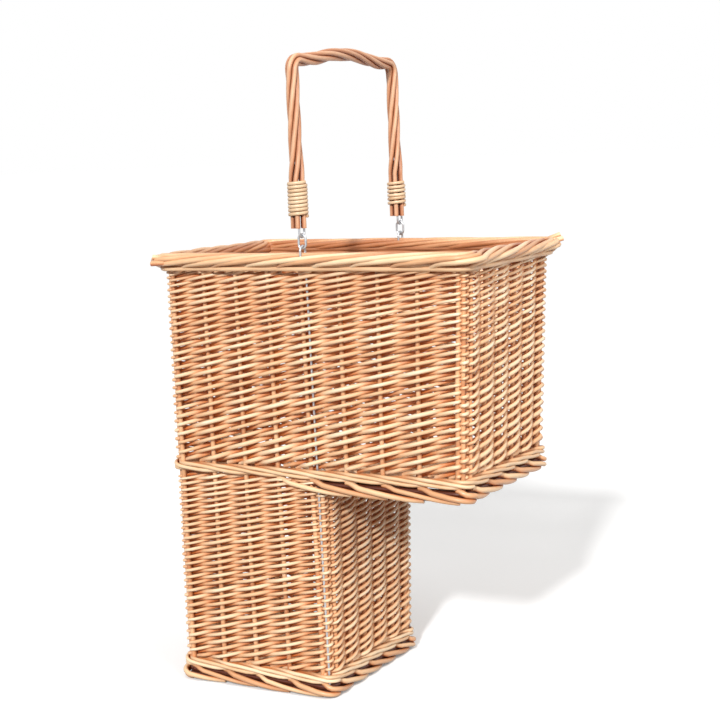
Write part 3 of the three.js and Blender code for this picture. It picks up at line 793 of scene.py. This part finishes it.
def stakeTree():
    bench = GrowBench(
        "standingStakes", Geometry=["Geometry"], Int=["Points", "Sides"],
        Length=["Foot Height", "Top Height", "Foot Radius", "Top Radius", "Bow"], Material=["Material"])
    given = bench.given
    pace = 14.0  # of the bow, for each metre
    spot = bench.position()
    wander = bench.vector("SUBTRACT", bench.noise(spot, pace, 0.0)["Color"], (0.5, 0.5, 0.5))
    wander = bench.vector("SCALE", wander, given["Bow"])
    rods = bench.make("GeometryNodeSetPosition", {"Geometry": bench.drawn(), "Offset": wander})
    height = bench.add("ShaderNodeSeparateXYZ", {0: spot}).outputs[2]
    share = bench.share(height, given["Foot Height"], given["Top Height"])
    thick = bench.blend(given["Foot Radius"], given["Top Radius"], share)
    plan = bench.vector("MULTIPLY", spot, (1.0, 1.0, 0.0))
    tone = bench.add("ShaderNodeTexWhiteNoise", {"Vector": plan}).outputs["Value"]
    # the upper side counts as open: lying sticks get a painted highlight on top and painted shade below
    return bench.skin(rods, thick, tone, bench.along()["Length"], (0.0, 0.0, 1.0))


standingStakes = stakeTree()

uprights = {
    "foot": 12.6, "step": 194.4, "rim": 380.0, "inputs": {
        "Foot Radius": 2.3, "Top Radius": 1.9, "Bow": 1.2, "Points": 24, "Sides": 8,
        "Material": finish["willowStake"]},
}


def stakeLines():
    foot, step, rim = uprights["foot"], uprights["step"], uprights["rim"]
    inset, stepTop = basket["endStakeInset"], basket["stepHeight"]
    ends = ((tallEndX, 1, foot, rim), (riserX, -1, foot, stepTop), (overhangEndX, -1, step, rim))
    lines = []

    def add(low, high, at):
        lines.append([(*at(low), low), (*at(high), high)])

    for side in (-1, 1):
        for i in range(2 * basket["sideBays"] + 1):
            add(foot if i <= basket["sideBays"] else step, rim,
                lambda z: (longSideStakes(z, True)[i], side * (sideY(z) - halfWall)))
    for share in endShares:
        for endX, inward, low, high in ends:
            add(low, high, lambda z: (endX(z) + inward * halfWall, share * (sideY(z) - inset)))
    for side in (-1, 1):
        for endX, inward, low, high in ends:
            add(low, high, lambda z: cornerSpot(z, endX(z), inward, side))
    return lines


stakes = growPiece("stakes", standingStakes, {
    **uprights["inputs"], "Foot Height": uprights["foot"], "Top Height": uprights["rim"]}, stakeLines())
settle(stakes, "basket", "willow_stake", *[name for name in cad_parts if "_stake_" in name])

# Cut ends of rim rods that stand out at the corners, each from inside the rim to its tip
rodEnds = {
    "lines": [
        [(-138.0, -93.0, 386.5), (-150.5, -96.5, 388.0)],
        [(-138.0, -97.0, 383.0), (-150.5, -99.5, 382.5)],
        [(-140.0, -88.0, 384.5), (-154.0, -91.5, 385.5)],
        [(142.0, 87.0, 387.0), (154.5, 95.0, 392.0)],
        [(146.0, 80.0, 385.0), (159.0, 90.0, 389.0)],
    ],
    "inputs": {**evenly("Radius", 2.3), "Points": 2, "Sides": 10, "Material": finish["willowRim"]},
}
ends = growPiece("rodEnds", standingStakes, rodEnds["inputs"], rodEnds["lines"])
settle(ends, "basket", "willow_border")

# Floors: strands woven over and under flat-lying sticks
floors = {
    "lower": {"z": 16.5, "node": "lower_floor", "seed": 51},
    "step": {"z": 198.5, "node": "step_floor", "seed": 53},
    "bays": 6, "strands": 42, "gap": 10.6,
}
floorStrands = {
    "Points per Bay": perBay, "Strands": floors["strands"], "Rows": floors["strands"], "First Level": 0.5,
    "Level per Strand": 1, "Period": 2, "Shift": 1, "Gain": 1, "Tuck": untucked, "Uneven": 0.4,
    "Thick and Thin": 0.07, "Sides": 7, "Points": floors["bays"] * perBay + 1, **evenly("Swing", 2.3),
    **evenly("Radius", 2.35), "Material": finish["willowFloor"],
}
floorSticks = {**evenly("Radius", 1.9), "Bow": 0.4, "Points": 24, "Sides": 8,
               "Material": finish["willowFloor"]}


def floorBox(part):
    z, gap = floors[part]["z"], floors["gap"]
    y = sideY(z) - gap
    if part == "lower":
        return tallEndX(z) + gap, riserX(z) - gap, y
    return riserX(basket["stepHeight"]) - basket["wall"], overhangEndX(z) - gap, y


def wovenFloor(name, part):
    x0, x1, y = floorBox(part)
    z, bays = floors[part]["z"], floors["bays"]
    piece = growPiece(name, wovenStrands, {
        **floorStrands, "Foot Rail": lineRail((x0, -y, z), (x1, -y, z), bays),
        "Top Rail": lineRail((x0, y, z), (x1, y, z), bays), "Seed": floors[part]["seed"]})
    settle(piece, "basket", "willow_floor", floors[part]["node"])
    places = [mix(x0, x1, i / bays) for i in range(1, bays)]
    lines = [[(x, -y, z), (x, y, z)] for x in places]
    sticks = growPiece(name + "Sticks", standingStakes, floorSticks, lines)
    settle(sticks, "basket", "willow_floor")


wovenFloor("lowerFloor", "lower")
wovenFloor("stepFloor", "step")

# Handle: thin rods twisted round each other, bound with split cane at both feet
handle = {
    "legX": -4.33, "legY": 88.5, "rodEnd": 411.2, "top": 562.0, "crown": 6.0, "cornerRadius": 9.0,
    "legSteps": 24, "cornerSteps": 16, "gripSteps": 24, "inputs": {
        "Rods": 5, "Radius": 2.15, "Circle": 3.6, "Bound Circle": 4.75, "Turns": 2.2, "Bound": 39.85,
        "Ease": 26.0, "Uneven": 0.5, "Points": 240, "Sides": 12, "Seed": 61,
        "Material": finish["steamedRod"]},
}


def handleLine():
    # up the front leg, round its corner and along the crowned grip, then mirrored
    x, y, radius = handle["legX"], handle["legY"], handle["cornerRadius"]
    crownZ = handle["top"] - handle["inputs"]["Circle"] - handle["inputs"]["Radius"]
    shoulderZ = crownZ - handle["crown"]
    grip, bendZ = y - radius, shoulderZ - radius
    legSteps = handle["legSteps"]
    half = [(x, -y, mix(handle["rodEnd"], bendZ, i / legSteps)) for i in range(legSteps)]
    for i in range(handle["cornerSteps"] + 1):
        angle = math.pi * (1 - i / handle["cornerSteps"] / 2)
        half.append((x, -grip + radius * math.cos(angle), bendZ + radius * math.sin(angle)))
    for i in range(1, handle["gripSteps"] + 1):
        t = i / handle["gripSteps"]  # on a smooth curve that starts and ends level
        ease = 3 * t * t - 2 * t ** 3
        along = -grip * ((1 - t) ** 3 + 1.5 * t * (1 - t) ** 2 + 1.5 * t * t * (1 - t))
        half.append((x, along, mix(shoulderZ, crownZ, ease)))
    return half + [(px, -py, pz) for px, py, pz in reversed(half[:-1])]


def twistTree():
    bench = GrowBench(
        "twistedRods", Geometry=["Geometry"], Int=["Rods", "Points", "Sides", "Seed"], Float=["Turns"],
        Length=["Circle", "Bound Circle", "Bound", "Ease", "Radius", "Uneven"], Material=["Material"])
    given, calc, vector = bench.given, bench.calc, bench.vector
    pace = 22.0  # of the unevenness, for each metre
    toneRange = (0.25, 0.75)
    across = (1.0, 0.0, 0.0)
    rods, number = bench.copies(bench.drawn(), given["Rods"])
    length = bench.along()["Length"]
    total = bench.make("GeometryNodeSplineLength")
    share = bench.share(length, given["Bound"], calc("SUBTRACT", total, given["Bound"]))
    turn = calc("SUBTRACT", calc("DIVIDE", number, given["Rods"]), calc("MULTIPLY", share, given["Turns"]))
    angle = calc("MULTIPLY", turn, math.tau)
    apart = calc("MULTIPLY", number, unlike["rod"])
    loose = bench.waver(bench.combine(calc("MULTIPLY", length, pace), apart, given["Seed"]), 1.0)
    wide = bench.swayed(given["Circle"], loose[0], given["Uneven"])
    toFoot = calc("MINIMUM", length, calc("SUBTRACT", total, length))
    free = bench.share(calc("SUBTRACT", toFoot, given["Bound"]), 0.0, given["Ease"], "SMOOTHSTEP")
    circle = bench.blend(given["Bound Circle"], wide, free)
    side = vector("CROSS_PRODUCT", across, bench.make("GeometryNodeInputTangent"))
    out = vector("SCALE", across, calc("MULTIPLY", circle, calc("COSINE", angle)))
    offset = bench.moved(out, side, calc("MULTIPLY", circle, calc("SINE", angle)))
    rods = bench.make("GeometryNodeSetPosition", {"Geometry": rods, "Offset": offset})
    tone = bench.chance(*toneRange, number, given["Seed"])
    # the side away from the bundle's middle counts as open: painted shade falls in the crevices between
    # rods
    return bench.skin(rods, given["Radius"], tone, length, vector("NORMALIZE", offset))


handleRods = growPiece("handleRods", twistTree(), handle["inputs"], [handleLine()])
settle(handleRods, "handle", "handle_rod", "handle_rod_1", "handle_rod_2", "handle_rod_3")


def windingTree():
    bench = GrowBench(
        "caneWinding", Vector=["Foot"], Int=["Points", "Sides", "Seed"], Float=["Turns"],
        Length=["Pitch", "Radius", "Width", "Thickness", "Uneven"], Material=["Material"])
    given, calc, vector = bench.given, bench.calc, bench.vector
    pace = 0.9  # of the unevenness, for each turn
    toneLow, toneSpread = 0.2, 0.7
    turnLength = 0.045  # metres of grain
    turn = calc("MULTIPLY", bench.along()["Factor"], given["Turns"])
    angle = calc("MULTIPLY", turn, math.tau)
    loose = bench.waver(bench.combine(turn, given["Seed"], 0.0), pace)
    radial = bench.combine(calc("COSINE", angle), calc("SINE", angle), 0.0)
    rise = bench.swayed(calc("MULTIPLY", turn, given["Pitch"]), loose[0], given["Uneven"])
    place = bench.moved(given["Foot"], radial, given["Radius"])
    place = vector("ADD", place, bench.combine(0.0, 0.0, rise))
    cane = bench.make("GeometryNodeSetPosition", {"Geometry": bench.guide(), "Position": place})
    cane = bench.make("GeometryNodeSetCurveNormal", {"Curve": cane, "Normal": radial}, mode="FREE")
    tone = calc("MULTIPLY_ADD", loose[1], toneSpread, toneLow)
    halves = [calc("MULTIPLY", given[label], 0.5) for label in ("Thickness", "Width")]
    flat = bench.combine(*halves, 1.0)
    # the outer side of the cane counts as open, for the painted highlight and shade
    return bench.skin(cane, 1.0, tone, calc("MULTIPLY", turn, turnLength), radial, flat)


caneWinding = windingTree()
binding = {
    "inner": 7.11, "foot": 419.7, "width": 2.9, "thickness": 1.5, "stepsPerTurn": 24, "sides": 10,
    "front": {"side": -1, "turns": 9, "pitch": 3.15, "uneven": 0.5, "seed": 71},
    "back": {"side": 1, "turns": 6, "pitch": 3.5, "uneven": 1.2, "seed": 73},
}
for label in ("front", "back"):
    winding = binding[label]
    foot = (handle["legX"], winding["side"] * handle["legY"], binding["foot"] + binding["width"] / 2)
    cane = growPiece(label + "Binding", caneWinding, {
        "Foot": foot, "Turns": winding["turns"], "Pitch": winding["pitch"],
        "Points": winding["turns"] * binding["stepsPerTurn"] + 1,
        "Radius": binding["inner"] + binding["thickness"] / 2, "Width": binding["width"],
        "Thickness": binding["thickness"], "Uneven": winding["uneven"], "Sides": binding["sides"],
        "Seed": winding["seed"], "Material": finish["splitCane"]})
    settle(cane, "handle", "split_cane", label + "_binding")

# Wire parts keep their CAD shapes
for name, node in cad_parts.items():
    if name.endswith(("_stay", "_link", "_loop")):
        node.data.materials.clear()
        node.data.materials.append(galvanisedWire)
print("wire dressed")

# Camera, light and floor
photoView = {
    "lens": 80.0, "sensor": 36.0, "farthest": 50.0,
    "right": (0.87479, 0.48271, -0.04159), "up": (-0.02844, 0.13686, 0.99018),
    "back": (0.48366, -0.86502, 0.13345), "place": (0.68887, -1.23390, 0.47839),
}
white = (1.0, 1.0, 1.0)
studio = {
    "sky": 0.45, "floorColour": 0.95, "floorGlow": 0.147, "floorBounce": 0.26, "floorReach": 40.0,
    "sunPower": 3.0, "sunAngle": 5.0, "sunDirection": (-0.4, 1.55, -0.87),
    "lamps": {
        "top": {"place": (-0.3, -0.5, 1.9), "aim": (0, 0, 0.2), "size": 1.3, "power": 3.0, "colour": white},
        "fill": {"place": (1.9, -0.8, 1.5), "aim": (0, 0, 0.3), "size": 1.4, "power": 30.0,
                 "colour": (1.0, 0.97, 0.93)},
    },
}


def placeCamera():
    lens = bpy.data.cameras.new("camera")
    lens.lens = photoView["lens"]
    lens.sensor_width = photoView["sensor"]
    lens.clip_end = photoView["farthest"]
    columns = [(*photoView[axis], 0.0) for axis in ("right", "up", "back")] + [(*photoView["place"], 1.0)]
    scene.camera = addObject("camera", lens)
    scene.camera.matrix_world = Matrix(columns).transposed()


def seenRays(bench):
    # 1 for what the camera sees, straight or mirrored in wire and gloss
    path = bench.add("ShaderNodeLightPath").outputs
    seen = bench.calc("MAXIMUM", path["Is Camera Ray"], path["Is Glossy Ray"])
    return bench.calc("MAXIMUM", seen, path["Is Transmission Ray"])


def skyLight():
    scene.world = bpy.data.worlds.new("studio")
    scene.world.use_nodes = True
    bench, nodes = NodeBench(scene.world.node_tree), scene.world.node_tree.nodes
    sky = nodes["Background"]
    bench.fit(sky, {"Strength": studio["sky"], "Color": (*white, 1.0)})
    seen = bench.make("ShaderNodeBackground", {"Color": (*white, 1.0)})
    chosen = bench.make("ShaderNodeMixShader", {0: seenRays(bench), 1: sky.outputs[0], 2: seen})
    bench.fit(nodes["World Output"], {"Surface": chosen})


def paleFloor():
    # white where the camera sees it unshaded, duller as a reflector
    material, bench, nodes = newMaterial("paleFloor")
    nodes.remove(nodes["Principled BSDF"])
    bright, dull = [bench.make("ShaderNodeBsdfDiffuse", {"Color": (*[studio[label]] * 3, 1.0)})
                    for label in ("floorColour", "floorBounce")]
    glow = bench.make("ShaderNodeEmission", {"Strength": studio["floorGlow"]})
    lit = bench.make("ShaderNodeAddShader", {0: bright, 1: glow})
    chosen = bench.make("ShaderNodeMixShader", {0: seenRays(bench), 1: dull, 2: lit})
    bench.fit(nodes["Material Output"], {"Surface": chosen})
    return material


def addLight(name, kind, power, direction):
    light = bpy.data.lights.new(name, kind)
    light.energy = power
    holder = addObject(name, light)
    holder.rotation_euler = Vector(direction).to_track_quat("-Z", "Y").to_euler()
    return holder


def setStage():
    skyLight()
    mesh = bpy.data.meshes.new("floor")
    reach = studio["floorReach"]
    corners = [(-reach, -reach, 0), (reach, -reach, 0), (reach, reach, 0), (-reach, reach, 0)]
    mesh.from_pydata(corners, [], [(0, 1, 2, 3)])
    mesh.materials.append(paleFloor())
    addObject("floor", mesh)
    sun = addLight("key", "SUN", studio["sunPower"], studio["sunDirection"])
    sun.data.angle = math.radians(studio["sunAngle"])
    for name, setting in studio["lamps"].items():
        lamp = addLight(name, "AREA", setting["power"], Vector(setting["aim"]) - Vector(setting["place"]))
        lamp.location = setting["place"]
        lamp.data.shape = "DISK"
        lamp.data.size = setting["size"]
        lamp.data.color = setting["colour"]


placeCamera()
setStage()
scene.view_settings.view_transform = "Standard"
print("camera and light set")
